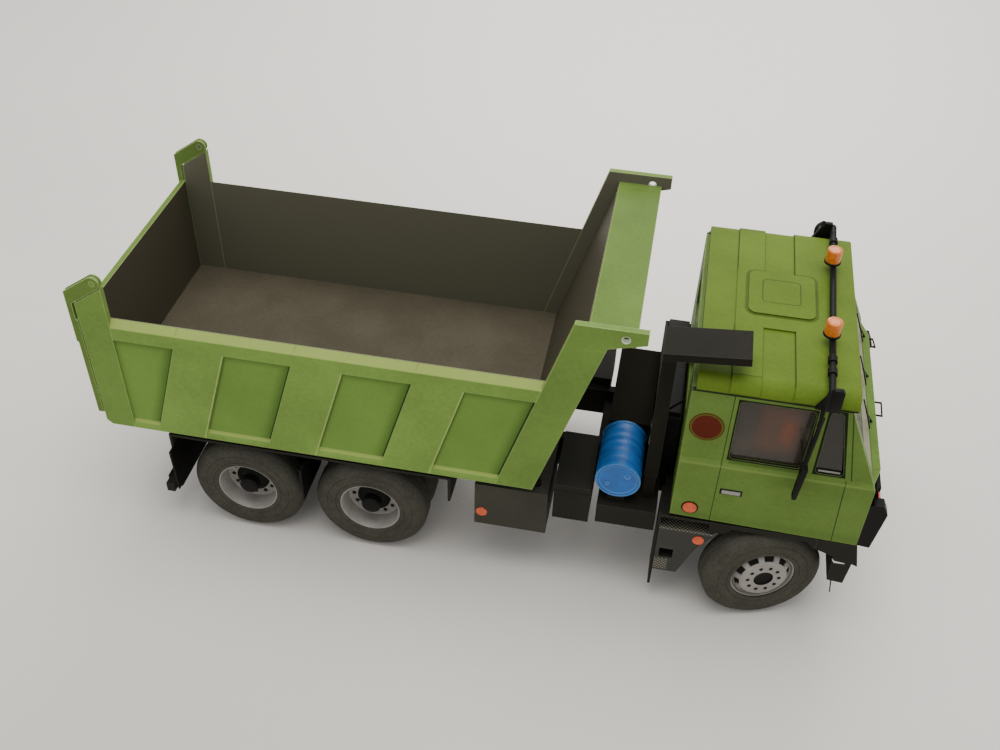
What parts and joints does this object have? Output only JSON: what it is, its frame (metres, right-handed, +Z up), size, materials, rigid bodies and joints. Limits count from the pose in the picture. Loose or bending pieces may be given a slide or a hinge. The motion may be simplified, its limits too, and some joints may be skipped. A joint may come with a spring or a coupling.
{
  "type": "dump truck scale model",
  "caption": "Hand-built card model of a three-axle cab-over dump truck with a tipping box bed, a hinged tailgate, steered front wheels and turning wheels.",
  "frame": {"origin": "on the floor below the centre of the model's outer box", "axes": "+X forward, +Y left, +Z up"},
  "size_m": [0.2332, 0.0906, 0.1034],
  "materials": {
    "green_card": "satin",
    "bed_inside_card": "matte",
    "black_card": "matte",
    "brown_card": "matte",
    "chequer_card": "matte",
    "blue_card": "satin",
    "orange_card": "satin",
    "silver_card": "satin",
    "tyre_card": "matte",
    "window_film": "gloss"
  },
  "bodies": {
    "chassis": {"frame_rails": "black_card", "cross_members": "black_card", "axle_mounts": "black_card", "backbone_tube": "black_card", "front_axle": "black_card", "rear_axles": "black_card", "rear_mudguards": "black_card", "rear_underrun": "black_card", "fuel_tanks": "black_card", "battery_boxes": "black_card", "side_trays": "black_card", "blue_drum": "blue_card", "filter_box": "black_card", "air_intake": "black_card", "cab_floor": "black_card", "cab_back_wall": "green_card", "cab_side_right": "green_card", "cab_side_left": "green_card", "cab_front": "green_card", "cab_roof": "green_card", "windows": "window_film", "dashboard": "brown_card", "steering_wheel": "black_card", "seats": "brown_card", "front_bumper": "black_card", "front_skirt": "black_card", "cab_steps": "chequer_card", "front_mudguards": "black_card", "light_bar": "black_card", "beacons": "orange_card", "mirrors": "black_card"},
    "bed": {"bed_floor": "bed_inside_card", "bed_beams": "black_card", "bed_bearers": "black_card", "bed_hinge": "black_card", "bed_side_right": "green_card", "bed_side_left": "green_card", "bed_front_posts": "green_card", "bed_rear_posts": "green_card", "bed_front_wall": "green_card", "bed_canopy": "green_card"},
    "tailgate": {"tailgate": "green_card"},
    "knuckle_right": {"knuckle_right": "black_card"},
    "knuckle_left": {"knuckle_left": "black_card"},
    "front_wheel_right": {"front_tyre_right": "tyre_card", "front_rim_right": "silver_card"},
    "front_wheel_left": {"front_tyre_left": "tyre_card", "front_rim_left": "silver_card"},
    "mid_wheel_right": {"mid_tyres_right": "tyre_card", "mid_rims_right": "silver_card"},
    "mid_wheel_left": {"mid_tyres_left": "tyre_card", "mid_rims_left": "silver_card"},
    "rear_wheel_right": {"rear_tyres_right": "tyre_card", "rear_rims_right": "silver_card"},
    "rear_wheel_left": {"rear_tyres_left": "tyre_card", "rear_rims_left": "silver_card"}
  },
  "joints": [
    {"name": "bed_tip", "type": "hinge", "parent": "chassis", "child": "bed", "pos_m": [-0.0987, 0, 0.0348], "axis": [0, -1, 0], "range_deg": [0, 50]},
    {"name": "tailgate_swing", "type": "hinge", "parent": "bed", "child": "tailgate", "pos_m": [-0.1071, 0, 0.0941], "axis": [0, 1, 0], "range_deg": [0, 70]},
    {"name": "steer_right", "type": "hinge", "parent": "chassis", "child": "knuckle_right", "pos_m": [0.0873, -0.0341, 0.0179], "axis": [0, 0, 1], "range_deg": [-44.5, 11.5]},
    {"name": "front_wheel_right_spin", "type": "hinge", "parent": "knuckle_right", "child": "front_wheel_right", "pos_m": [0.0873, -0.0341, 0.0179], "axis": [-0.284, 0.9588, 0], "continuous": true},
    {"name": "steer_left", "type": "hinge", "parent": "chassis", "child": "knuckle_left", "pos_m": [0.0873, 0.0341, 0.0179], "axis": [0, 0, 1], "range_deg": [-44.5, 11.5]},
    {"name": "front_wheel_left_spin", "type": "hinge", "parent": "knuckle_left", "child": "front_wheel_left", "pos_m": [0.0873, 0.0341, 0.0179], "axis": [-0.284, 0.9588, 0], "continuous": true},
    {"name": "mid_wheel_right_spin", "type": "hinge", "parent": "chassis", "child": "mid_wheel_right", "pos_m": [-0.0327, 0, 0.0179], "axis": [0, 1, 0], "continuous": true},
    {"name": "mid_wheel_left_spin", "type": "hinge", "parent": "chassis", "child": "mid_wheel_left", "pos_m": [-0.0327, 0, 0.0179], "axis": [0, 1, 0], "continuous": true},
    {"name": "rear_wheel_right_spin", "type": "hinge", "parent": "chassis", "child": "rear_wheel_right", "pos_m": [-0.0727, 0, 0.0179], "axis": [0, 1, 0], "continuous": true},
    {"name": "rear_wheel_left_spin", "type": "hinge", "parent": "chassis", "child": "rear_wheel_left", "pos_m": [-0.0727, 0, 0.0179], "axis": [0, 1, 0], "continuous": true}
  ],
  "couplings": [
    {"joint": "steer_left", "follows": "steer_right", "ratio": 1}
  ]
}
